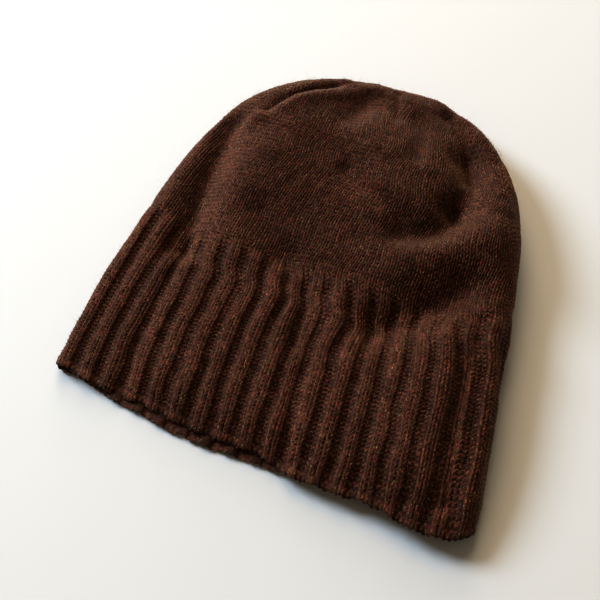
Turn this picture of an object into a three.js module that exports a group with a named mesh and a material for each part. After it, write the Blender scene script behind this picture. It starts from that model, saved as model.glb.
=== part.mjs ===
// A ribbed wool cap, knitted in one piece and lying flat on its back.
// Millimetres. X runs across the open hem, +Y from the hem to the gathered crown, +Z up from the table.
// The origin is the middle of the cap's footprint, on the table.
//
// The fabric is one tube. A place on it is given by two shares: `along`, from the hem (0) to the gather (1),
// and `around`, once round the head from the left fold, over the upper layer, and back under the cap.
import * as THREE from 'three';

// Fabric
const WALL = 2.2;                 // thickness of the knitted lambswool
const RIB_COUNT = 36;             // ribs round the head, each two knit and two purl stitches wide
const RIB_RELIEF = 1.05;          // how far a rib stands out, and its groove sinks, from the mean fabric
const BAND_SHARE = 0.47;          // the ribbed band, as a share of the way from hem to gather
const RIB_FADE = 0.035;           // the ribs run out into plain knitting over this share
const PRESS = 0.25;               // how far the cap's own weight flattens the ribs that it lies on

// Middle of the footprint, in the plan that the tables below are measured in
const MIDDLE_X = 0.3;
const MIDDLE_Y = -2.5;

// Mesh rows and columns
const BAND_COLUMNS = 4 * RIB_COUNT;   // two edges for each rib and two for each groove
const CROWN_COLUMNS = BAND_COLUMNS / 2;
const BAND_ROWS = 6;
const CROWN_ROWS = 16;
const FIRST_RIB = 1.5;            // columns from the left fold to the first rib's edge
const LAST_OUTER_ROW = 0.985;     // the last full ring of the outer face before the gather closes it
const LAST_INNER_ROW = 0.95;      // the same inside, where the wall's thickness uses up the last rows
const SECTION_SAMPLES = 240;      // points that measure a section's length round the cap
const NORMAL_STEP = 0.004;        // step in both shares for measuring which way the fabric faces

// The lying cap's sections, straight across from the left fold to the right fold, in plan.
// bow: how far the middle of the section lies nearer the gather than its two ends, or the hem where negative.
// lift: height of the lower layer's mean fabric. thickLeft, thickMiddle, thickRight: from the lower to the
// upper layer. roundLeft, roundRight: how far in from each fold the layers part to that thickness.
const SECTION_COLUMNS = [
  'along', 'leftX', 'leftY', 'rightX', 'rightY', 'bow',
  'lift', 'thickLeft', 'thickMiddle', 'thickRight', 'roundLeft', 'roundRight'];
const SECTIONS = [
  [0.00, -112.3, -103.0, 112.3, -110.0, -8.5, 1.9, 4.8, 8.1, 10.0, 5, 9],
  [0.12, -112.4, -76.5, 107.3, -83.0, -9.0, 1.9, 5.6, 11.0, 17.0, 6, 13],
  [0.24, -111.8, -50.0, 102.5, -56.0, -10.0, 1.9, 6.5, 14.0, 20.0, 6, 15],
  [0.36, -109.4, -24.0, 97.5, -29.5, -12.0, 1.9, 7.5, 16.0, 22.0, 7, 17],
  [0.47, -106.2, 1.0, 93.3, -1.0, -14.0, 1.7, 9.0, 18.0, 24.0, 8, 18],
  [0.58, -103.0, 26.5, 88.8, 24.0, -11.0, 1.4, 11.0, 21.0, 25.0, 9, 18],
  [0.69, -97.2, 53.5, 82.0, 51.0, -8.0, 1.2, 13.0, 24.0, 26.0, 11, 17],
  [0.80, -85.4, 81.5, 70.0, 76.5, -4.0, 1.1, 15.0, 24.0, 26.0, 12, 16],
  [0.89, -64.2, 101.6, 49.0, 99.5, -1.0, 1.3, 15.0, 22.0, 25.0, 12, 14],
  [0.95, -43.0, 110.2, 28.5, 110.8, 0.0, 2.6, 13.0, 18.0, 20.0, 10, 12],
  [0.985, -25.0, 114.0, 6.5, 115.0, 0.5, 5.0, 8.0, 10.0, 11.0, 6, 6],
  [1.00, -10.5, 116.0, -10.5, 116.0, 0.0, 9.5, 0.1, 0.1, 0.1, 3, 3]];

// Folds and dents of the upper layer, each a bend from one place by another to a third, in plan.
// width: how far it spreads to each side. height: how far it rises, or sinks where negative.
const FOLD_COLUMNS = ['fromX', 'fromY', 'byX', 'byY', 'toX', 'toY', 'width', 'height'];
const FOLDS = [
  [-85, 60, -85, 26, -79, -20, 9, -6.8],         // valley beside the left fold
  [-77, -37, -81, -51, -74, -112, 6, -1.5],      // the same valley, running out down a rib
  [-51, 75, -61, 32, -48, -2, 21, 4.8],          // left side of the dome
  [-68, 72, -59, 91, -41, 102, 3.6, -3.4],       // crease under the crown's far edge
  [-75, 62, -56, 87, -19, 107, 5, 2.2],          // edge of the dome in front of that crease
  [-62, 88, -53, 99, -37, 108, 3, 1.2],          // small roll behind the crease
  [-24, 83, -22, 87, -21, 91, 9, -3.6],          // dent beside the gather
  [-6, 108, -3, 99, 0, 89, 3, -1.3],             // pucker straight down from the gather
  [10, 92, 16, 83, 17, 68, 6, -2.2],             // shallow pucker to its right
  [-10, 81, 14, 68, 13, 40, 18, 3.2],            // swell of the dome left of the hooked valley
  [26, 103, 40, 92, 47, 71, 7, -4.6],            // upper end of the long hooked valley on the right of the crown
  [43, 78, 55, 65, 49, 48, 9, -5.6],             // its deeper middle
  [48, 41, 49, 27, 28, 23, 9, -6.5],             // its hook
  [-14, 48, 2, 40, 22, 32, 6, -3.0],             // slack across the middle of the crown
  [-48, 9, -42, 2, -30, -6, 10, -4.4],           // slack at the foot of the crown
  [32, 9, 55, 23, 74, 38, 16, 3.6],              // roll outside the hook, over the ribs
  [66, 3, 57, -16, 32, -31, 12, -7.0],           // valley where the right-hand ribs begin
  [47, 100, 63, 82, 74, 57, 6, 1.4],             // roll outside the hooked valley
  [44, 103, 64, 90, 77, 58, 2.6, -1.2],          // crease along the right fold
  [-21, -13, -1, -30, -1, -52, 9, -2.6],         // deeper groove down the middle of the band
  [4, -70, 6, -87, 18, -110, 6, -1.6],           // its lower end
  [79, -12, 87, -71, 95, -106, 4, -2.6],         // deeper groove beside the right fold
  [66, -33, 70, -64, 72, -94, 16, 3.4],          // swell of the right-hand ribs
  [-80, -114, -31, -118, 9, -118, 8, -2.3],      // upper hem, sunk on to the lower one
];
const FOLD_SAMPLES = 12;

// How far each layer's hem lies out beyond the first section, or behind it where negative, at shares across
// the cap. On the left the lower hem shows below the upper one, and on the right the upper hem covers it.
const HEM_COLUMNS = ['across', 'lower', 'upper'];
const HEM = [
  [0.00, 0.0, 0.0],
  [0.08, -2.0, -2.0],
  [0.20, -0.6, -3.7],
  [0.35, 1.2, -2.2],
  [0.50, 0.0, -2.6],
  [0.62, -1.8, 1.6],
  [0.76, -3.4, 1.0],
  [0.90, 1.5, 7.0],
  [0.97, 2.5, 7.6],
  [1.00, 0.0, 2.0]];
const HEM_SHARE = 0.14;           // the way from the hem over which the hem's own line runs out

function rowOf(columns, values) {
  return Object.fromEntries(columns.map((name, i) => [name, values[i]]));
}

// Smooth curve through the table's rows, one value of every column at a time.
function sectionAt(along) {
  const last = SECTIONS.length - 1;
  let i = 0;
  while (i < last - 1 && SECTIONS[i + 1][0] < along) i++;
  const row = (k) => SECTIONS[THREE.MathUtils.clamp(k, 0, last)];
  const gap = row(i + 1)[0] - row(i)[0];
  const t = (along - row(i)[0]) / gap;
  const values = row(i).map((start, c) => {
    const end = row(i + 1)[c];
    const slope = (low, high) => (row(high)[c] - row(low)[c]) / (row(high)[0] - row(low)[0]) * gap;
    const slopeStart = i === 0 ? slope(0, 1) : slope(i - 1, i + 1);
    const slopeEnd = i === last - 1 ? slope(last - 1, last) : slope(i, i + 2);
    return start * (1 + 2 * t) * (1 - t) ** 2 + slopeStart * t * (1 - t) ** 2
      + end * t * t * (3 - 2 * t) + slopeEnd * t * t * (t - 1);
  });
  return rowOf(SECTION_COLUMNS, values);
}

const foldPaths = FOLDS.map((values) => {
  const fold = rowOf(FOLD_COLUMNS, values);
  const bend = new THREE.QuadraticBezierCurve(
    new THREE.Vector2(fold.fromX, fold.fromY),
    new THREE.Vector2(fold.byX, fold.byY),
    new THREE.Vector2(fold.toX, fold.toY));
  return { ...fold, points: bend.getPoints(FOLD_SAMPLES) };
});

function foldHeight(x, y) {
  let height = 0;
  for (const fold of foldPaths) {
    let nearest = Infinity;
    for (let k = 0; k < FOLD_SAMPLES; k++) {
      const a = fold.points[k];
      const b = fold.points[k + 1];
      const run = new THREE.Vector2().subVectors(b, a);
      const reach = ((x - a.x) * run.x + (y - a.y) * run.y) / run.lengthSq();
      const share = THREE.MathUtils.clamp(reach, 0, 1);
      nearest = Math.min(nearest, Math.hypot(x - a.x - run.x * share, y - a.y - run.y * share));
    }
    height += fold.height * Math.exp(-((nearest / fold.width) ** 2));
  }
  return height;
}

// How far out the hem's own line draws the fabric, at a share along and across the cap and up its thickness.
function hemReach(along, across, height) {
  let i = 0;
  while (i < HEM.length - 2 && HEM[i + 1][0] < across) i++;
  const start = rowOf(HEM_COLUMNS, HEM[i]);
  const end = rowOf(HEM_COLUMNS, HEM[i + 1]);
  const share = THREE.MathUtils.smoothstep(across, start.across, end.across);
  const lower = THREE.MathUtils.lerp(start.lower, end.lower, share);
  const upper = THREE.MathUtils.lerp(start.upper, end.upper, share);
  const fade = 1 - THREE.MathUtils.smoothstep(along, 0, HEM_SHARE);
  return THREE.MathUtils.lerp(lower, upper, height) * fade;
}

// Thickness of the lying cap at a share across it: a parabola through the left, middle and right values.
function thicknessAcross(section, across) {
  return section.thickLeft * (1 - across) * (1 - 2 * across)
    + section.thickMiddle * 4 * across * (1 - across)
    + section.thickRight * across * (2 * across - 1);
}

// One point of the mean fabric, at an angle round the section: pi on the left fold and 0 on the right.
function sectionPoint(section, angle) {
  const across = (1 + Math.cos(angle)) / 2;
  const width = Math.hypot(section.rightX - section.leftX, section.rightY - section.leftY);
  const fromLeft = across * width;
  const fromRight = width - fromLeft;
  const room = Math.min(1, width / (section.roundLeft + section.roundRight + 1e-6));
  const parted = (distance, round) => {
    const inside = THREE.MathUtils.clamp(1 - distance / (round * room + 1e-6), 0, 1);
    return Math.sqrt(1 - inside ** 2);
  };
  const opening = parted(fromLeft, section.roundLeft) * parted(fromRight, section.roundRight);
  const thickness = thicknessAcross(section, across);
  const side = Math.sin(angle) >= 0 ? 1 : -1;
  const height = (1 + side * opening) / 2;
  const x = THREE.MathUtils.lerp(section.leftX, section.rightX, across);
  const y = THREE.MathUtils.lerp(section.leftY, section.rightY, across)
    + section.bow * (1 - (2 * across - 1) ** 4) - hemReach(section.along, across, height);
  const z = section.lift + thickness * height
    + foldHeight(x, y) * THREE.MathUtils.smoothstep(height, 0.5, 1);
  return new THREE.Vector3(x, y, z);
}

const measuredSections = new Map();

function measuredSection(along) {
  if (!measuredSections.has(along)) {
    const section = sectionAt(along);
    const points = [];
    const lengths = [0];
    for (let k = 0; k <= SECTION_SAMPLES; k++) {
      points.push(sectionPoint(section, Math.PI - 2 * Math.PI * k / SECTION_SAMPLES));
      if (k > 0) lengths.push(lengths[k - 1] + points[k].distanceTo(points[k - 1]));
    }
    measuredSections.set(along, { points, lengths });
  }
  return measuredSections.get(along);
}

// The mean fabric, with every stitch of a row taking the same length round the cap.
function meanFabric(along, around) {
  const { points, lengths } = measuredSection(along);
  const share = around - Math.floor(around);
  const target = share * lengths[SECTION_SAMPLES];
  let k = 1;
  while (k < SECTION_SAMPLES && lengths[k] < target) k++;
  const step = lengths[k] - lengths[k - 1];
  return points[k - 1].clone().lerp(points[k], step > 0 ? (target - lengths[k - 1]) / step : 0);
}

function outward(along, around) {
  const before = Math.max(along - NORMAL_STEP, 0);
  const after = Math.min(along + NORMAL_STEP, 0.999);
  const up = meanFabric(after, around).sub(meanFabric(before, around));
  const round = meanFabric(along, around + NORMAL_STEP).sub(meanFabric(along, around - NORMAL_STEP));
  return round.cross(up).normalize();
}

// Ribs: the middle half of each repeat's knit stitches stands out and the same of its purls sinks in.
function ribHeight(along, column) {
  const fade = THREE.MathUtils.smoothstep(along, BAND_SHARE - RIB_FADE, BAND_SHARE + RIB_FADE);
  return (column % 4 < 2 ? RIB_RELIEF : -RIB_RELIEF) * (1 - fade);
}

// A ring of points round the cap on one face of the fabric: side 1 outside, -1 inside.
function ring(along, columns, side) {
  const points = [];
  for (let column = 0; column < columns; column++) {
    const bandColumn = column * BAND_COLUMNS / columns;
    const around = (bandColumn + FIRST_RIB) / BAND_COLUMNS;
    const rib = columns === BAND_COLUMNS ? ribHeight(along, column) : 0;
    const point = meanFabric(along, around).addScaledVector(outward(along, around), rib + side * WALL / 2);
    const table = side > 0 ? PRESS : PRESS + WALL;
    points.push(new THREE.Vector3(point.x, point.y, Math.max(point.z, table) - PRESS));
  }
  return points;
}

// Closes the band between two rings with triangles, where the second has as many points or half as many.
function stitch(triangles, low, high) {
  const ratio = low.length / high.length;
  for (let i = 0; i < high.length; i++) {
    const nextHigh = high[(i + 1) % high.length];
    for (let k = 0; k < ratio; k++) {
      const start = low[i * ratio + k];
      const end = low[(i * ratio + k + 1) % low.length];
      triangles.push([start, end, high[i]]);
      if (k === ratio - 1) triangles.push([end, nextHigh, high[i]]);
    }
  }
}

function rows(from, to, count) {
  return Array.from({ length: count + 1 }, (_, i) => THREE.MathUtils.lerp(from, to, i / count));
}

// All the rings of one face of the fabric, from the hem to the gather, and the point that closes it.
function face(triangles, side, lastRow) {
  const band = rows(0, BAND_SHARE, BAND_ROWS).map((along) => ring(along, BAND_COLUMNS, side));
  const crown = rows(BAND_SHARE + RIB_FADE, lastRow, CROWN_ROWS)
    .map((along) => ring(along, CROWN_COLUMNS, side));
  const rings = [...band, ...crown];
  for (let i = 1; i < rings.length; i++) stitch(triangles, rings[i - 1], rings[i]);
  const last = rings[rings.length - 1];
  const gather = last.reduce((sum, point) => sum.add(point), new THREE.Vector3()).divideScalar(last.length);
  if (side > 0) gather.y = meanFabric(1, 0).y + WALL / 2;
  last.forEach((point, i) => triangles.push([point, last[(i + 1) % last.length], gather]));
  return rings[0];
}

function knitCap() {
  const outer = [];
  const inner = [];
  const outerHem = face(outer, 1, LAST_OUTER_ROW);
  const innerHem = face(inner, -1, LAST_INNER_ROW);
  const hem = [];
  stitch(hem, innerHem, outerHem);
  const triangles = [...outer, ...inner.map(([a, b, c]) => [a, c, b]), ...hem];
  const position = new Float32Array(triangles.flat().flatMap((point) => point.toArray()));
  const geometry = new THREE.BufferGeometry();
  geometry.setAttribute('position', new THREE.BufferAttribute(position, 3));
  geometry.computeVertexNormals();
  return geometry;
}

const wool = new THREE.MeshStandardMaterial({ color: 0x3b2119, roughness: 0.95, metalness: 0 });
const cap = new THREE.Mesh(knitCap(), wool);
cap.name = 'knit_cap';
cap.position.set(-MIDDLE_X, -MIDDLE_Y, 0);

const part = new THREE.Group();
part.add(cap);

export default part;
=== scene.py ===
# %% [markdown]
# # A ribbed wool cap, lying on a table
# The real cap is one piece of knitting: cast on at the hem, worked in a rib of two knit and two purl
# stitches, carried on in plain knitting and drawn together at one point on the crown. Nothing is sewn on.
# The frame that is loaded here holds the plain solid, with the ribs and the folds that the cap lies in.
# This lesson covers the same wall with real stitches, because at this distance the eye counts them.

import math

import bpy
import numpy as np
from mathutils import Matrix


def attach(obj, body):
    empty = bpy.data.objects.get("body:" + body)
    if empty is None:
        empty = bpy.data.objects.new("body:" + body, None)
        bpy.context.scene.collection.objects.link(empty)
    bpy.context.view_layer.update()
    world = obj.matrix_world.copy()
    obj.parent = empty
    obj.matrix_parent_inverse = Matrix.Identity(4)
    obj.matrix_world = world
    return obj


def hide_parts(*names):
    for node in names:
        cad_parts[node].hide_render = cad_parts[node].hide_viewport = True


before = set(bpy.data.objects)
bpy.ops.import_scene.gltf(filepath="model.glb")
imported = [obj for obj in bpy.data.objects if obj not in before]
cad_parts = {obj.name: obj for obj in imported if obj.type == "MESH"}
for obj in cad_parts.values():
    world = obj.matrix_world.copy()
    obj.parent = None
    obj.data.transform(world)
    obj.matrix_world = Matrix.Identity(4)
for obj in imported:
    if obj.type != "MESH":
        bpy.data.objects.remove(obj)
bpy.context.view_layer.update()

# %% [markdown]
# ## The wool and its gauge
# A knitter counts in wales (columns of stitches) and courses (rows). The rib repeats over four wales, and
# 36 repeats go round the head. Everything below is worked out from these few numbers, in millimetres.

# %% Gauge
MM = 0.001
WALL = 2.2                  # thickness of the knitting
WALE_MM, COURSE_MM = 3.1, 2.3   # width and height of a stitch, as the photo shows them
RIB_COUNT = 36
RIB_WALES = 4               # two knit and two purl
WALES = RIB_COUNT * RIB_WALES
BAND_COURSES = 46
CROWN_COURSES = 58
COURSES = BAND_COURSES + CROWN_COURSES
BAND_SHARE = 0.47           # the band's part of the way from the hem (0) to the gather (1)
RIB_RELIEF = 1.25           # how far a rib stands out, and a groove sinks, from the mean fabric
FIRST_RIB = 1.0             # wales from the left fold to the first rib
RIB_SPREAD = 0.1            # wales by which the two knit wales of a rib spread over the purl ones
PRESS = 0.25                # how far the cap's own weight flattens the ribs that it lies on
MIDDLE_X, MIDDLE_Y = 0.3, -2.5  # middle of the footprint in the plan that the tables are measured in
print("stitches round:", WALES, "courses:", COURSES)

# %% [markdown]
# ## The way that the cap lies
# A tube of cloth that lies flat can be drawn from its sections, straight across from the thin left fold
# to the fuller right one. A short table gives each section's two ends, how it bows, how high it lies and
# how far its layers stand apart. A second table gives the folds: each is a bend in plan, with a width and
# a height. Cloth simulation was the other choice, but it can't be told to fall into the very folds of one
# photo. Nor would a hand-sculpted dome keep its ribs evenly spaced while the folds are moved about.

# %% Tables of sections and folds
# along, left x, left y, right x, right y, bow, lift, thick left, thick middle, thick right, round left, right
SECTIONS = np.array([
    [0.00, -112.3, -103.0, 112.3, -110.0, -8.5, 1.9, 4.8, 8.1, 10.0, 5, 9],
    [0.12, -112.4, -76.5, 107.3, -83.0, -9.0, 1.9, 5.6, 11.0, 17.0, 6, 13],
    [0.24, -111.8, -50.0, 102.5, -56.0, -10.0, 1.9, 6.5, 14.0, 20.0, 6, 15],
    [0.36, -109.4, -24.0, 97.5, -29.5, -12.0, 1.9, 7.5, 16.0, 22.0, 7, 17],
    [0.47, -106.2, 1.0, 93.3, -1.0, -14.0, 1.7, 9.0, 18.0, 24.0, 8, 18],
    [0.58, -103.0, 26.5, 88.8, 24.0, -11.0, 1.4, 11.0, 21.0, 25.0, 9, 18],
    [0.69, -97.2, 53.5, 82.0, 51.0, -8.0, 1.2, 13.0, 24.0, 26.0, 11, 17],
    [0.80, -85.4, 81.5, 70.0, 76.5, -4.0, 1.1, 15.0, 24.0, 26.0, 12, 16],
    [0.89, -64.2, 101.6, 49.0, 99.5, -1.0, 1.3, 15.0, 22.0, 25.0, 12, 14],
    [0.95, -43.0, 110.2, 28.5, 110.8, 0.0, 2.6, 13.0, 18.0, 20.0, 10, 12],
    [0.985, -25.0, 114.0, 6.5, 115.0, 0.5, 5.0, 8.0, 10.0, 11.0, 6, 6],
    [1.00, -10.5, 116.0, -10.5, 116.0, 0.0, 9.5, 0.1, 0.1, 0.1, 3, 3]])
# from x, from y, by x, by y, to x, to y, width, height
FOLDS = np.array([
    [-85, 60, -85, 26, -79, -20, 9, -6.8],       # valley beside the left fold
    [-77, -37, -81, -51, -74, -112, 6, -1.5],    # the same valley, running out down a rib
    [-51, 75, -61, 32, -48, -2, 21, 4.8],        # left side of the dome
    [-68, 72, -59, 91, -41, 102, 3.6, -3.4],     # crease under the crown's far edge
    [-75, 62, -56, 87, -19, 107, 5, 2.2],        # edge of the dome in front of that crease
    [-62, 88, -53, 99, -37, 108, 3, 1.2],        # small roll behind the crease
    [-24, 83, -22, 87, -21, 91, 9, -3.6],        # dent beside the gather
    [-6, 108, -3, 99, 0, 89, 3, -1.3],           # pucker straight down from the gather
    [10, 92, 16, 83, 17, 68, 6, -2.2],           # shallow pucker to its right
    [-10, 81, 14, 68, 13, 40, 18, 3.2],          # swell of the dome left of the hooked valley
    [26, 103, 40, 92, 47, 71, 7, -4.6],          # upper end of the hooked valley on the right
    [43, 78, 55, 65, 49, 48, 9, -5.6],           # its deeper middle
    [48, 41, 49, 27, 28, 23, 9, -6.5],           # its hook
    [-14, 48, 2, 40, 22, 32, 6, -3.0],           # slack across the middle of the crown
    [-48, 9, -42, 2, -30, -6, 10, -4.4],         # slack at the foot of the crown
    [32, 9, 55, 23, 74, 38, 16, 3.6],            # roll outside the hook, over the ribs
    [66, 3, 57, -16, 32, -31, 12, -7.0],         # valley where the right-hand ribs begin
    [47, 100, 63, 82, 74, 57, 6, 1.4],           # roll outside the hooked valley
    [44, 103, 64, 90, 77, 58, 2.6, -1.2],        # crease along the right fold
    [-21, -13, -1, -30, -1, -52, 9, -2.6],       # deeper groove down the middle of the band
    [4, -70, 6, -87, 18, -110, 6, -1.6],         # its lower end
    [79, -12, 87, -71, 95, -106, 4, -2.6],       # deeper groove beside the right fold
    [66, -33, 70, -64, 72, -94, 16, 3.4],        # swell of the right-hand ribs
    [-80, -114, -31, -118, 9, -118, 8, -2.3]])   # upper hem, sunk on to the lower one
FOLD_SAMPLES = 12
FOLD_DEPTH = 1.25           # the folds as the photo shades them, deeper than in the plain solid
# share across, how far the lower and the upper layer's hems lie out beyond the first section
HEM = np.array([
    [0.00, 0.0, 0.0],
    [0.08, -2.0, -2.0],
    [0.20, -0.6, -3.7],
    [0.35, 1.2, -2.2],
    [0.50, 0.0, -2.6],
    [0.62, -1.8, 1.6],
    [0.76, -3.4, 1.0],
    [0.90, 1.5, 7.0],
    [0.97, 2.5, 7.6],
    [1.00, 0.0, 2.0]])
HEM_SHARE = 0.14            # the way from the hem over which its own line runs out
print("sections:", len(SECTIONS), "folds:", len(FOLDS))

# %% [markdown]
# ## The mean fabric
# The knitting's middle surface is worked out once on a fine net of 520 by 1440 places, and the stitches
# are then hung on it. Every course is measured round the cap and shared out evenly, so all its stitches
# are as wide as each other, as they are in the hand.

# %% The mean fabric on a net
NET_ALONG, NET_AROUND, SECTION_SAMPLES = 520, 1440, 720


def smooth(value, low, high):
    """0 below low, 1 above high and an S-shaped ramp between."""
    share = np.clip((value - low) / (high - low), 0, 1)
    return share * share * (3 - 2 * share)


def sections_at(along):
    """The section table's columns at each share along the cap, on a smooth curve through its rows."""
    at = SECTIONS[:, 0]
    slope = np.gradient(SECTIONS, at, axis=0)
    slope[1:-1] = (SECTIONS[2:] - SECTIONS[:-2]) / (at[2:] - at[:-2])[:, None]
    i = np.clip(np.searchsorted(at, along, side="right") - 1, 0, len(at) - 2)
    gap = (at[i + 1] - at[i])[:, None]
    t = (along[:, None] - at[i][:, None]) / gap
    rows = (SECTIONS[i] * (1 + 2 * t) * (1 - t) ** 2 + slope[i] * gap * t * (1 - t) ** 2
            + SECTIONS[i + 1] * t * t * (3 - 2 * t) + slope[i + 1] * gap * t * t * (t - 1))
    return rows.T[:, :, None]


def fold_height(x, y):
    """How far the folds lift the upper layer, or sink it where negative."""
    height = np.zeros_like(x)
    t = np.linspace(0, 1, FOLD_SAMPLES + 1)[:, None]
    for fold in FOLDS:
        bend = fold[0:2] * (1 - t) ** 2 + fold[2:4] * 2 * t * (1 - t) + fold[4:6] * t * t
        nearest = np.full_like(x, 1e9)
        for start, end in zip(bend[:-1], bend[1:]):
            run = end - start
            off_x, off_y = x - start[0], y - start[1]
            share = np.clip((off_x * run[0] + off_y * run[1]) / (run @ run), 0, 1)
            nearest = np.minimum(nearest, np.hypot(off_x - run[0] * share, off_y - run[1] * share))
        height += fold[7] * FOLD_DEPTH * np.exp(-(nearest / fold[6]) ** 2)
    return height


def hem_reach(along, across, height):
    """How far out the hem's own line draws the fabric."""
    start, lower, upper = HEM.T
    i = np.clip(np.searchsorted(start, across, side="right") - 1, 0, len(start) - 2)
    share = smooth(across, start[i], start[i + 1])
    low = lower[i] + (lower[i + 1] - lower[i]) * share
    high = upper[i] + (upper[i + 1] - upper[i]) * share
    return (low + (high - low) * height) * (1 - smooth(along, 0, HEM_SHARE))


def section_points(along):
    """Points round the mean fabric, a row for each share along the cap."""
    (at, left_x, left_y, right_x, right_y, bow, lift,
     thick_left, thick_middle, thick_right, round_left, round_right) = sections_at(along)
    angle = np.pi - 2 * np.pi * np.arange(SECTION_SAMPLES + 1)[None, :] / SECTION_SAMPLES
    across = (1 + np.cos(angle)) / 2
    width = np.hypot(right_x - left_x, right_y - left_y)
    room = np.minimum(1, width / (round_left + round_right))

    def parted(distance, rounding):
        return np.sqrt(1 - np.clip(1 - distance / (rounding * room + 1e-6), 0, 1) ** 2)

    opening = parted(across * width, round_left) * parted((1 - across) * width, round_right)
    thickness = (thick_left * (1 - across) * (1 - 2 * across) + thick_middle * 4 * across * (1 - across)
                 + thick_right * across * (2 * across - 1))
    height = (1 + np.where(np.sin(angle) >= 0, 1, -1) * opening) / 2
    x = left_x + (right_x - left_x) * across
    y = left_y + (right_y - left_y) * across + bow * (1 - (2 * across - 1) ** 4)
    y -= hem_reach(at, across, height)
    z = lift + thickness * height + fold_height(x, y) * smooth(height, 0.5, 1)
    return np.stack([x, y, z], axis=-1)


def measure_out(points, around):
    """Moves the points of each row to even shares of that row's own length."""
    steps = np.linalg.norm(np.diff(points, axis=1), axis=-1)
    lengths = np.concatenate([np.zeros((len(points), 1)), np.cumsum(steps, axis=1)], axis=1)
    even = np.empty((len(points), len(around), 3))
    for row, length in enumerate(lengths):
        for axis in range(3):
            even[row, :, axis] = np.interp(around * length[-1], length, points[row, :, axis])
    return even, lengths[:, -1]


# %% Lay out the net and its directions
net_along = np.linspace(0, 1, NET_ALONG + 1)
net_around = np.linspace(0, 1, NET_AROUND + 1)
net, girth = measure_out(section_points(net_along), net_around)
net -= [MIDDLE_X, MIDDLE_Y, PRESS]
along_step = np.gradient(net, axis=0)
around_step = np.gradient(net[:, :-1], axis=1)
around_step[:, 0] = (net[:, 1] - net[:, -2]) / 2
around_step[:, -1] = (net[:, 0] - net[:, -3]) / 2
around_step = np.concatenate([around_step, around_step[:, :1]], axis=1)
facing = np.cross(around_step, along_step)
facing /= np.linalg.norm(facing, axis=-1, keepdims=True) + 1e-12
upward = along_step / (np.linalg.norm(along_step, axis=-1, keepdims=True) + 1e-12)
print("girth at the hem and the rib top, mm:", girth[0].round(), girth[round(BAND_SHARE * NET_ALONG)].round())


def sample(grid, along, around):
    """Values of a net, or of any coarser grid, at shares along and around the cap."""
    rows, columns = grid.shape[0] - 1, grid.shape[1] - 1
    row = np.clip(along, 0, 1) * rows
    column = np.clip(around, 0, 1) * columns
    i = np.minimum(row.astype(int), rows - 1)
    j = np.minimum(column.astype(int), columns - 1)
    a = smooth(row - i, 0, 1)[..., None] if rows < NET_ALONG else (row - i)[..., None]
    b = smooth(column - j, 0, 1)[..., None] if rows < NET_ALONG else (column - j)[..., None]
    return (grid[i, j] * (1 - a) * (1 - b) + grid[i + 1, j] * a * (1 - b)
            + grid[i, j + 1] * (1 - a) * b + grid[i + 1, j + 1] * a * b)


# %% [markdown]
# ## Stitches
# On the right side of the work a knit stitch shows as a V of two plump legs, and each V sits in the one
# below. A purl stitch shows the loops' heads and feet instead, as two rows of small bumps. Both are drawn
# as heights on the mean fabric. The net's rows are sheared to run along the legs, so few points draw a
# clean V.

# %% Heights of the stitches
LEG_SLANT = 1.3             # courses that a leg climbs across half a wale
STITCH_RELIEF = 0.85        # from the groove between two legs to a leg's crest
LEG_LINK = 0.25             # how much of its height a leg keeps where the next one comes out of it
LEG_ROUND = 0.6             # 1 for a sharp leg, and less for a plump one
PURL_RELIEF = 0.85          # from the groove between two purl bumps to a bump's crest
RIB_ROUND = 0.42            # 1 for a rib like a wave, and less for one with steep sides and a flat top


def knitness(wale, course):
    """1 on knit stitches and 0 on purls: the rib's repeat in the band, and all knit in the crown."""
    repeat = np.mod(wale - FIRST_RIB, RIB_WALES)
    return np.maximum(repeat < RIB_WALES / 2, smooth(course, BAND_COURSES - 0.5, BAND_COURSES + 0.5))


def uneven(rows, columns, amount):
    """A coarse grid of seeded random values that closes round the cap."""
    grid = chance.normal(0, amount, (rows + 1, columns + 1, 1))
    grid[:, -1] = grid[:, 0]
    return grid


chance = np.random.default_rng(36)
wander = uneven(14, 36, 0.16)           # wales that a column of stitches strays sideways
lumps = uneven(45, 90, 0.16)            # unevenness of the cloth, in millimetres
rib_depth = uneven(8, RIB_COUNT, 0.16)  # how much deeper one rib is than another
hem_depth = uneven(2, 96, 0.35)         # unevenness of the cast-on edge, in millimetres
tension = chance.normal(1, 0.2, (COURSES + 12, WALES * 2))     # one yarn leg plumper than another


# %% Ribs and yarns as heights
def rib_height(wale, course):
    """The fabric's wave over ribs and grooves, which runs out where the plain crown begins."""
    repeat = np.mod(wale - FIRST_RIB, RIB_WALES) / RIB_WALES
    wave = np.sin(2 * np.pi * repeat)
    wave = np.sign(wave) * np.abs(wave) ** RIB_ROUND
    depth = 1 + sample(rib_depth, share_along(course), wale / WALES)[..., 0]
    return RIB_RELIEF * wave * depth * (1 - smooth(course, BAND_COURSES - 3, BAND_COURSES + 2))


def stitch_height(wale, course):
    """Height of one yarn over the groove between yarns, on knit and purl stitches."""
    x = np.mod(wale, 1)
    s = np.mod(course, 1)
    leg = np.abs(np.sin(2 * np.pi * x)) ** LEG_ROUND * (LEG_LINK + (1 - LEG_LINK) * np.sin(np.pi * s) ** 0.5)
    head = 1 - ((x - 0.5) / 0.5) ** 2 - ((s - 0.3) / 0.36) ** 2
    foot = 1 - (np.minimum(x, 1 - x) / 0.45) ** 2 - ((s - 0.8) / 0.34) ** 2
    bump = np.sqrt(np.clip(np.maximum(head, foot), 0, 1))
    knit = knitness(wale, course)
    plump = tension[(course + 1e-6).astype(int), np.minimum((2 * wale + 1e-6).astype(int), 2 * WALES - 1)]
    return (STITCH_RELIEF * (leg - 0.5) * knit + PURL_RELIEF * (bump - 0.5) * (1 - knit)) * plump


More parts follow.
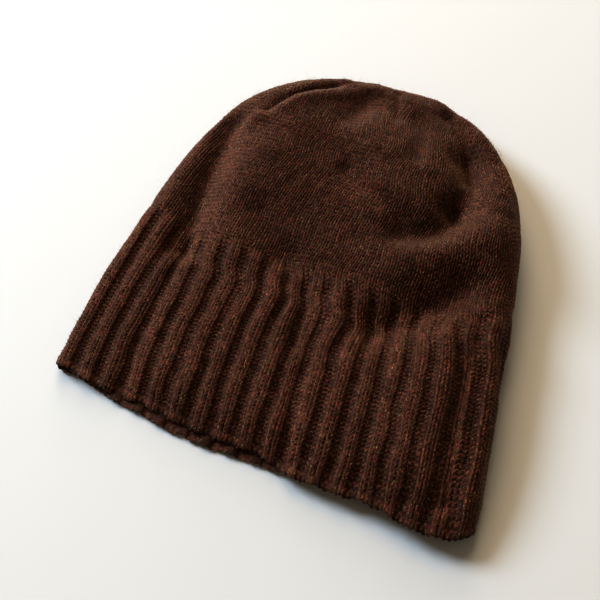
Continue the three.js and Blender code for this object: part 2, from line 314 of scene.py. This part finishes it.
slant = math.atan2(LEG_SLANT * COURSE_MM, WALE_MM / 2)
print("leg slant, degrees:", round(math.degrees(slant)))

# %% [markdown]
# ## Where a stitch lies
# In the band every course has all 144 stitches. In the crown the work narrows, so wales end along the two
# folds, where the decreases are hidden, and the ones that reach the top draw in to the gather.

# %% From wale and course to a place on the fabric
GATHER_KEEP = 0.34          # share of the wales that reach the gather
girth_left = girth / girth[round(BAND_SHARE * NET_ALONG)]
keep_net = GATHER_KEEP + (1 - GATHER_KEEP) * smooth(girth_left, 0.1, 1.0) ** 0.8


def share_along(course):
    """Share of the way from hem to gather at a course."""
    band = course / BAND_COURSES * BAND_SHARE
    crown = BAND_SHARE + (course - BAND_COURSES) / CROWN_COURSES * (1 - BAND_SHARE)
    return np.clip(np.where(course < BAND_COURSES, band, crown), 0, 1)


def kept(along):
    """Share of the wales still on the needle."""
    return np.where(along <= BAND_SHARE, 1.0, np.interp(along, net_along, keep_net))


def share_around(wale, along):
    """Share of the way round the cap, with the wales kept straight on each layer and cut off at its folds."""
    layer = np.where(wale < WALES / 2, 0.25, 0.75)
    repeat = (wale - FIRST_RIB) / RIB_WALES
    in_band = 1 - smooth(along, BAND_SHARE - 0.03, BAND_SHARE + 0.03)
    stray = sample(wander, along, wale / WALES)[..., 0] - RIB_SPREAD * np.cos(2 * np.pi * repeat) * in_band
    wale = wale + stray * smooth(np.abs(np.sin(2 * np.pi * wale / WALES)), 0, 0.15)
    return np.clip(layer + (wale / WALES - layer) / kept(along), layer - 0.25, layer + 0.25)


def leg_rise(wale, course):
    """How many courses the net's row is raised at a wale, to run along the legs of the V."""
    x = np.mod(wale, 1)
    knit = knitness(wale, course)
    layer = np.where(wale < WALES / 2, 0.25, 0.75) * WALES
    edge = WALES / 4 * kept(share_along(course)) - np.abs(wale - layer)
    from_dart = np.where(course <= BAND_COURSES, 1, smooth(edge, 0, 1.5))
    from_hem = smooth(course, 0, 1.5)
    from_top = 1 - smooth(course, COURSES - 3, COURSES - 1)
    return LEG_SLANT * (np.abs(2 * x - 1) * knit + (1 - knit)) * from_dart * from_hem * from_top


# %% [markdown]
# ## Knitting the wall
# Each piece is a ring of the wall, closed all round: up its outside, over its edge and down its inside.
# It starts as a flat grid with a column for every sixth of a wale, and its points are then laid on the
# fabric. A displacement modifier could raise the stitches too, but it moves points straight out only, and
# a leg of a V has to lean. Five rings keep each mesh light enough to work on. The cast-on edge is thinner
# than the rest, with one bead to a stitch, and the upper layer's edge droops on to the lower one under
# its own weight.

# %% Lay a grid on the fabric
WALE_STEPS = 6     # grid columns in a wale
COURSE_STEPS = 4   # grid rows in a course
INNER_COURSE_STEP = 2                   # courses between the rows of the inner face
WELD = 0.000002
HEM_THIN = 0.4                          # share by which the cast-on edge is thinner than the rest
HEM_RUN = 3                             # courses over which it thins
HEM_SINK = 2.8                          # how far the upper layer's edge droops towards the lower one
DROOP_RUN = 9                           # courses over which it droops
BEAD_OUT, BEAD_SWELL = 0.8, 0.35        # the cast-on beads, as shares of half the wall
LOWEST_INSIDE = 0.8                     # lowest place of the inner face, in walls over the table
INNER_SHORT = 5                         # courses by which the inner face ends short of the gather
GATHER_OUT = 0.6                        # how far the gather's own point lies out beyond its last stitches


def wall_rows(first, last, hem=False, gather=False):
    """Rows round a ring of the wall: course, side (1 outside, -1 inside) and how far it bulges at the hem."""
    inner_last = last - INNER_SHORT if gather else last
    inside = [(course, -1.0, 0.0) for course in np.arange(first, inner_last, INNER_COURSE_STEP)][::-1]
    inside = [(inner_last, -1.0, 0.0)] + inside
    edge = [(first, -math.cos(a), math.sin(a)) for a in np.linspace(0, math.pi, 6)[1:-1]] if hem else []
    outside = [(course, 1.0, 0.0) for course in np.linspace(first, last, (last - first) * COURSE_STEPS + 1)]
    closing = [] if gather else [inside[0]]
    return np.array(inside + edge + outside + closing)


def sharpen_ends(ring, rows, columns):
    """Marks the two ends of the outer face sharp, so that light runs on unbroken to the next ring."""
    ends = [k for k in range(1, len(rows)) if (rows[k, 1] > 0.99) != (rows[k - 1, 1] > 0.99)]
    pair = np.empty(len(ring.data.edges) * 2, dtype=np.int32)
    ring.data.edges.foreach_get("vertices", pair)
    row = pair.reshape(-1, 2) // (columns + 1)
    level = row[:, 0] == row[:, 1]
    sharp = level & np.isin(row[:, 0], [k if rows[k, 1] > 0.99 else k - 1 for k in ends])
    mark = ring.data.attributes.new("sharp_edge", "BOOLEAN", "EDGE")
    mark.data.foreach_set("value", sharp)


def on_fabric(along, around, height):
    """Points at a height over the mean fabric."""
    normal = sample(facing, along, around)
    normal /= np.linalg.norm(normal, axis=-1, keepdims=True)
    return sample(net, along, around) + normal * height[..., None]


def hem_shape(wale, course):
    """How thin the wall is near its cast-on edge, and how far the upper layer droops there."""
    thin = 1 - HEM_THIN * (1 - smooth(course, 0, HEM_RUN))
    upper = np.clip(np.sin(2 * np.pi * wale / WALES), 0, 1) ** 0.5
    return thin, HEM_SINK * upper * (1 - smooth(course, 0, DROOP_RUN))


# %% Knit one ring
def knit_ring(name, first, last, hem=False, gather=False):
    """A ring of knitted wall between two courses, as one closed mesh."""
    rows = wall_rows(first, last, hem, gather)
    columns = WALES * WALE_STEPS
    bpy.ops.object.select_all(action="DESELECT")
    bpy.ops.mesh.primitive_grid_add(x_subdivisions=columns, y_subdivisions=len(rows) - 1, size=1)
    ring = bpy.context.object
    ring.name = ring.data.name = name
    wale = np.arange(columns + 1)[None, :] / WALE_STEPS + np.zeros((len(rows), 1))
    course, side, bulge = (rows[:, k:k + 1] + np.zeros_like(wale) for k in range(3))
    risen = course + leg_rise(wale, course) * (side > 0.99)
    along = share_along(risen)
    if gather:
        along = np.where((course >= last) & (side > 0), 1.0, np.minimum(along, 0.9995))
    around = share_around(wale, along)
    yarn = np.where(side > 0, stitch_height(wale, course), 0)
    rib = rib_height(wale, risen)
    relief = yarn + rib
    relief += sample(lumps, along, around)[..., 0]
    thin, droop = hem_shape(wale, course)
    place = on_fabric(along, around, (side * WALL / 2 + relief) * thin - droop)
    beads = WALL / 2 * (BEAD_OUT + BEAD_SWELL * np.cos(2 * np.pi * wale)) * bulge
    beads += sample(hem_depth, along, around)[..., 0] * (1 - smooth(course, 0, 2.5))
    place -= sample(upward, along, around) * beads[..., None]
    if gather:
        # the yarn's end is drawn through the last loops and pulled tight, so each face closes in a point
        place[-1] = place[-2].mean(axis=0) + [0, GATHER_OUT, 0]
        place[0] = place[0].mean(axis=0)
    place[..., 2] = np.maximum(place[..., 2], np.where(side > 0, 0, WALL * LOWEST_INSIDE))
    ring.data.vertices.foreach_set("co", (place * MM).ravel())
    lay = ring.data.uv_layers.new(name="stitches") if not ring.data.uv_layers else ring.data.uv_layers[0]
    lay.name = "stitches"
    corner = np.empty(len(ring.data.loops), dtype=np.int32)
    ring.data.loops.foreach_get("vertex_index", corner)
    counts = np.stack([wale.ravel()[corner], course.ravel()[corner]], axis=1)
    lay.data.foreach_set("uv", counts.ravel())
    # how high each point stands between the grooves of the yarns and their crests, and a little over the
    # ribs; the wool's colour takes painted shade from it in the low places
    crest = ring.data.attributes.new("crest", "FLOAT", "POINT")
    crest.data.foreach_set("value", np.clip(0.5 + yarn + rib * 0.2, 0, 1).ravel())
    sharpen_ends(ring, rows, columns)
    bpy.ops.object.mode_set(mode="EDIT")
    bpy.ops.mesh.select_all(action="SELECT")
    bpy.ops.mesh.remove_doubles(threshold=WELD)
    bpy.ops.mesh.dissolve_degenerate(threshold=WELD)
    bpy.ops.object.mode_set(mode="OBJECT")
    bpy.ops.object.shade_smooth()
    print(name, "triangles:", sum(len(p.vertices) - 2 for p in ring.data.polygons))
    return ring


# %% The five rings of the cap
# courses where one ring ends and the next begins
JOINS = [0, BAND_COURSES // 2, BAND_COURSES, BAND_COURSES + 23, BAND_COURSES + 42, COURSES]
RING_COURSES = list(zip(JOINS[:-1], JOINS[1:]))
rings = [
    knit_ring("hem_and_lower_rib", *RING_COURSES[0], hem=True),
    knit_ring("upper_rib", *RING_COURSES[1]),
    knit_ring("plain_crown", *RING_COURSES[2]),
    knit_ring("narrowing_crown", *RING_COURSES[3]),
    knit_ring("gathered_crown", *RING_COURSES[4], gather=True)]

# %% [markdown]
# ## The yarn
# It is a heather yarn: fibres dyed dark brown, red brown and olive are carded together before they are
# spun, with a few left tan. So the colour changes from fibre to fibre, and a little more from stitch to
# stitch. The noise below is measured in millimetres on the object, and each leg of a stitch gets a shade
# of its own from the stitch count that the mesh carries. An image of knitting would be quicker to put on,
# but it would not follow the stitches that are really there. Brushed wool also glows where it turns away
# from the eye, because its loose hairs catch the light there, so it has a sheen over a rough, dull
# surface.

# %% One function for colours and one for nodes
def linear(hex_colour):
    """An sRGB hex colour as the linear values that a shader takes."""
    parts = [int(hex_colour[i:i + 2], 16) / 255 for i in (1, 3, 5)]
    return [p / 12.92 if p <= 0.04045 else ((p + 0.055) / 1.055) ** 2.4 for p in parts] + [1.0]


def add(tree, kind, settings=None, **inputs):
    """Adds a node, sets its properties, and sets or links its inputs by name or number."""
    node = tree.nodes.new(kind)
    for name, value in (settings or {}).items():
        setattr(node, name, value)
    for name, value in inputs.items():
        socket = node.inputs[int(name[1:])] if name[1:].isdigit() else node.inputs[name.replace("_", " ")]
        if isinstance(value, bpy.types.NodeSocket):
            tree.links.new(value, socket)
        else:
            socket.default_value = value
    return node


# %% The wool material
FIBRE_PATCH_MM = 1.5        # size of a patch of one dye in the yarn
FLECK_MM = 0.8              # size of a tan fleck
HAIR_MM = 0.35              # size of the fibres' own relief
CLOUD_MM = 26.0             # slow drift of the mix over the cloth

wool = bpy.data.materials.new("heather lambswool, knitted and brushed")
wool.use_nodes = True
tree = wool.node_tree
shader = tree.nodes["Principled BSDF"]
place = add(tree, "ShaderNodeTexCoord").outputs["Object"]
stitch = add(tree, "ShaderNodeUVMap", {"uv_map": "stitches"}).outputs["UV"]


def noise(size_mm, detail, roughness):
    """Noise on the object, with features of the given size."""
    return add(tree, "ShaderNodeTexNoise", Vector=place, Scale=1 / (size_mm * MM), Detail=detail,
               Roughness=roughness).outputs["Fac"]


def ramp(value, low, high):
    return add(tree, "ShaderNodeMapRange", {"interpolation_type": "SMOOTHSTEP"}, Value=value, From_Min=low,
               From_Max=high).outputs["Result"]


def mix(share, first, second, blend="MIX"):
    return add(tree, "ShaderNodeMix", {"data_type": "RGBA", "blend_type": blend}, _0=share, _6=first,
               _7=second).outputs[2]


# %% The yarn's colours
# one number for each leg: twice the wale, and the course, both rounded down
legs = add(tree, "ShaderNodeVectorMath", {"operation": "MULTIPLY"}, _0=stitch, _1=(2, 1, 0)).outputs[0]
legs = add(tree, "ShaderNodeVectorMath", {"operation": "FLOOR"}, _0=legs).outputs[0]
leg_shade = add(tree, "ShaderNodeTexWhiteNoise", {"noise_dimensions": "2D"}, Vector=legs).outputs["Value"]

brown = mix(ramp(noise(FIBRE_PATCH_MM, 4, 0.8), 0.38, 0.62), linear("#1c0c09"), linear("#8c4c3d"))
olive = mix(ramp(noise(FIBRE_PATCH_MM * 1.3, 3, 0.7), 0.51, 0.61), brown, linear("#624e32"))
cloud = mix(ramp(noise(CLOUD_MM, 2, 0.5), 0.35, 0.7), linear("#dedad4"), linear("#ffffff"))
shaded = mix(1.0, olive, cloud, "MULTIPLY")
by_leg = mix(leg_shade, linear("#989490"), linear("#ffffff"))
shaded = mix(1.0, shaded, by_leg, "MULTIPLY")
flecked = mix(ramp(noise(FLECK_MM, 2, 0.6), 0.61, 0.73), shaded, linear("#b2965f"))
# painted shade: the colour is darkened between the yarns and a little in the ribs' grooves, where shade
# falls, and left as it is on the yarns' crests
crest = add(tree, "ShaderNodeAttribute", {"attribute_name": "crest"}).outputs["Fac"]
flecked = mix(1.0, flecked, mix(ramp(crest, 0.0, 0.8), linear("#664a42"), linear("#ffffff")), "MULTIPLY")

# %% The wool's sheen and hairs
tree.links.new(flecked, shader.inputs["Base Color"])
shader.inputs["Roughness"].default_value = 0.56
shader.inputs["Specular IOR Level"].default_value = 0.35
shader.inputs["Specular Tint"].default_value = linear("#f2b89c")
shader.inputs["Sheen Weight"].default_value = 0.7
shader.inputs["Sheen Roughness"].default_value = 0.3
shader.inputs["Sheen Tint"].default_value = linear("#f0ccac")
hairs = add(tree, "ShaderNodeBump", Height=noise(HAIR_MM, 3, 0.75), Strength=0.7, Distance=0.0004)
tree.links.new(hairs.outputs["Normal"], shader.inputs["Normal"])
print("nodes in the wool:", len(tree.nodes))

# %% Dress the rings in it
def belongs(piece, material):
    """Gives a piece its material, hangs it on the root body and hides the plain solid of the cap."""
    piece.data.materials.clear()
    piece.data.materials.append(material)
    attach(piece, "root")
    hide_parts("knit_cap")


for ring in rings:
    belongs(ring, wool)

# %% [markdown]
# ## Each ring as a sheet of cloth
# Before it was closed into a tube, each ring was a flat strip: as wide as the cap is round, and as long
# as its courses are high. The crown's strips narrow with the work, so less than their rectangle is cloth.
# The gather crowds its stitches, so the cloth there is as wide as its stitches are, and not as the cap is
# round. Below, only the cloth's length from the hem up is worked out, at each row of the net.

# %% Length of the cloth along the cap
flat_along = np.linalg.norm(np.diff(net, axis=0), axis=-1).mean(axis=1)
flat_along = np.concatenate([[0], np.cumsum(flat_along)])

# %% [markdown]
# ## Fuzz and loose fibres
# Lambswool is hairy. Short ends stand out of every yarn and catch the light along the edges, and longer
# ones lie across the stitches in curls. A hair system could grow them, but it leaves no mesh.
# A fibre is far thinner than a stitch, so each is a ribbon of a few faces instead, and one Array modifier
# makes them all.

# %% Ribbons along paths
FUZZ_COUNT = 28000
FUZZ_MM = 1.7
FUZZ_WIDE_MM = 0.05
FUZZ_ON_TOP = 0.72          # share of the fuzz that grows on the upper layer, where it can be seen
FUZZ_ROOT_MM = 0.3          # how deep in the yarn an end starts
FUZZ_OUT, FUZZ_LEAN, FUZZ_CURL = 0.55, 0.62, 0.5    # how far an end heads out, leans over and bends
LOOSE_COUNT = 300
LOOSE_WIDE_MM = 0.09
LOOSE_RISE_MM, LOOSE_WAVE_MM = 1.2, 0.7     # how high a long fibre lies over the mean wall, and its waves
LOOSE_SINK = 0.7            # how far a long fibre follows the ribs and the grooves between them
OVER_TABLE_MM = 0.02        # the lowest that a fibre may hang


def ribbons(name, paths, width):
    """Thin, tapering ribbons along many paths, an array of (ribbon, joint, 3) in millimetres."""
    count, joints = paths.shape[0], paths.shape[1] - 1
    bpy.ops.object.select_all(action="DESELECT")
    bpy.ops.mesh.primitive_grid_add(x_subdivisions=1, y_subdivisions=joints, size=1)
    piece = bpy.context.object
    piece.name = piece.data.name = name
    row = piece.modifiers.new("row", "ARRAY")
    row.count = count
    bpy.ops.object.modifier_apply(modifier="row")
    across = np.cross(np.gradient(paths, axis=1), chance.normal(size=(count, 1, 3)))
    across /= np.linalg.norm(across, axis=-1, keepdims=True) + 1e-9
    across *= width / 2 * np.linspace(1, 0.4, joints + 1)[None, :, None]
    sides = np.stack([paths - across, paths + across], axis=2)
    sides[..., 2] = np.maximum(sides[..., 2], OVER_TABLE_MM)
    piece.data.vertices.foreach_set("co", (sides * MM).ravel())
    piece.data.update()
    print(name, "triangles:", 2 * len(piece.data.polygons))
    return piece


def outer_height(wale, course):
    """Height of the stitches' outside over the mean fabric."""
    thin, droop = hem_shape(wale, course)
    return (WALL / 2 + stitch_height(wale, course) + rib_height(wale, course)) * thin - droop


# %% Grow the fuzz
wale = np.where(chance.random(FUZZ_COUNT) < FUZZ_ON_TOP, chance.random(FUZZ_COUNT) * WALES / 2,
                WALES / 2 + chance.random(FUZZ_COUNT) * WALES / 2)
course = chance.random(FUZZ_COUNT) * (COURSES - 1)
along = share_along(course)
around = share_around(wale, along)
root = on_fabric(along, around, outer_height(wale, course) - FUZZ_ROOT_MM)
outward = on_fabric(along, around, outer_height(wale, course) + 1 - FUZZ_ROOT_MM) - root
lean = chance.normal(0, 1, (FUZZ_COUNT, 3))
curl = chance.normal(0, FUZZ_CURL, (FUZZ_COUNT, 3))
reach = (FUZZ_MM * chance.uniform(0.5, 1.4, FUZZ_COUNT))[:, None, None]
t = np.linspace(0, 1, 4)[None, :, None]
heading = FUZZ_OUT * outward[:, None] + FUZZ_LEAN * lean[:, None]
fuzz = ribbons("wool_fuzz", root[:, None] + reach * (heading * t + curl[:, None] * t ** 2), FUZZ_WIDE_MM)

# %% Lay the loose fibres
t = np.linspace(0, 1, 13)[None, :]
swing = chance.uniform(0, 2 * np.pi, (4, LOOSE_COUNT, 1))
wale = chance.uniform(2, WALES / 2 - 2, (LOOSE_COUNT, 1)) + chance.normal(0, 1.3, (LOOSE_COUNT, 1)) * t
wale += 0.45 * np.sin(5 * t + swing[0]) + 0.2 * np.sin(11 * t + swing[1])
course = chance.uniform(1, COURSES - 8, (LOOSE_COUNT, 1)) + chance.normal(0, 2.0, (LOOSE_COUNT, 1)) * t
course += 0.7 * np.sin(6 * t + swing[2])
course = np.clip(course, 0, COURSES - 2)
along = share_along(course)
height = WALL / 2 + LOOSE_RISE_MM + LOOSE_WAVE_MM * np.sin(4 * t + swing[3])
height = height + rib_height(wale, course) * LOOSE_SINK - hem_shape(wale, course)[1]
loose = ribbons("loose_fibres", on_fabric(along, share_around(wale, along), height), LOOSE_WIDE_MM)

# %% The fibres' material
hair = bpy.data.materials.new("loose wool fibre, matt")
hair.use_nodes = True
tree = hair.node_tree
shader = tree.nodes["Principled BSDF"]
place = add(tree, "ShaderNodeTexCoord").outputs["Object"]
tint = mix(ramp(noise(2.3, 2, 0.6), 0.35, 0.6), linear("#6a4034"), linear("#987060"))
tint = mix(ramp(noise(3.1, 1, 0.5), 0.66, 0.72), tint, linear("#c8ac80"))
tree.links.new(tint, shader.inputs["Base Color"])
shader.inputs["Roughness"].default_value = 0.7
for piece in (fuzz, loose):
    belongs(piece, hair)

# %% [markdown]
# ## The table and the light
# The cap lies on a pale, matt table beside a window. The daylight comes low from the left, so each rib
# and fold has a lit side and a dark one. A bright wall behind gives the far edges their light, and the
# rest of the room gives back a little more. Area lamps are used, because their soft shadows grow with
# distance as real ones do.

# %% Table
bpy.ops.mesh.primitive_plane_add(size=8, location=(0, 0, -0.0002))
table = bpy.context.object
table.name = "table_top"
paint = bpy.data.materials.new("white table paint, matt")
paint.use_nodes = True
paint.node_tree.nodes["Principled BSDF"].inputs["Base Color"].default_value = linear("#cbcdcb")
paint.node_tree.nodes["Principled BSDF"].inputs["Roughness"].default_value = 0.8
table.data.materials.append(paint)

# %% Window and room
# name, azimuth and elevation in degrees, distance and size in metres, power in watts, colour
LIGHTS = [
    ("window", 170, 33, 2.4, 1.0, 100, "#d0e2f8"),
    ("bright_wall_behind", 125, 46, 3.0, 2.2, 64, "#ffe4c0"),
    ("low_light_behind", 112, 14, 3.0, 1.6, 62, "#fff2e2")]
ROOM_COLOUR = "#ffead0"
ROOM_STRENGTH = 0.32

for name, azimuth, elevation, distance, size, watts, colour in LIGHTS:
    flat = math.cos(math.radians(elevation))
    way = np.array([math.cos(math.radians(azimuth)) * flat, math.sin(math.radians(azimuth)) * flat,
                    math.sin(math.radians(elevation))])
    bpy.ops.object.light_add(type="AREA", location=way * distance)
    lamp = bpy.context.object
    lamp.name = name
    lamp.data.shape = "DISK"
    lamp.data.size = size
    lamp.data.energy = watts
    lamp.data.color = linear(colour)[:3]
    lamp.rotation_euler = lamp.location.to_track_quat("Z", "Y").to_euler()

room = bpy.data.worlds.new("room")
bpy.context.scene.world = room
room.use_nodes = True
room.node_tree.nodes["Background"].inputs["Color"].default_value = linear(ROOM_COLOUR)
room.node_tree.nodes["Background"].inputs["Strength"].default_value = ROOM_STRENGTH

# %% [markdown]
# ## The camera
# The photo looks down on the cap at a slant, a little from its right. The lens is longish, so the cap's
# far end isn't much smaller than the hem. The slant was found from the cap's outline and its known
# thickness.

# %% Camera
ELEVATION, AZIMUTH = 60, 22     # degrees up from the table, and round from straight in front of the hem
DISTANCE, LENS = 0.6867, 80     # metres from the aim, and millimetres
VIEW_GAMMA = 0.72               # a photo has more contrast than light measured straight
AIM_X, AIM_Y, AIM_Z = -10.5, -25.5, 8.0     # the picture's middle, in the tables' plan and over the table
AIM = ((AIM_X - MIDDLE_X) * MM, (AIM_Y - MIDDLE_Y) * MM, AIM_Z * MM)
rise, turn = math.radians(ELEVATION), math.radians(AZIMUTH)
back = np.array([math.sin(turn) * math.cos(rise), -math.cos(turn) * math.cos(rise), math.sin(rise)])
bpy.ops.object.camera_add(location=np.array(AIM) + back * DISTANCE)
camera = bpy.context.object
camera.name = "camera"
camera.data.lens = LENS
camera.rotation_euler = type(camera.location)(back).to_track_quat("Z", "Y").to_euler()
bpy.context.scene.camera = camera
bpy.context.scene.view_settings.view_transform = "Standard"
bpy.context.scene.view_settings.gamma = VIEW_GAMMA
print("camera:", [round(v, 3) for v in camera.location])
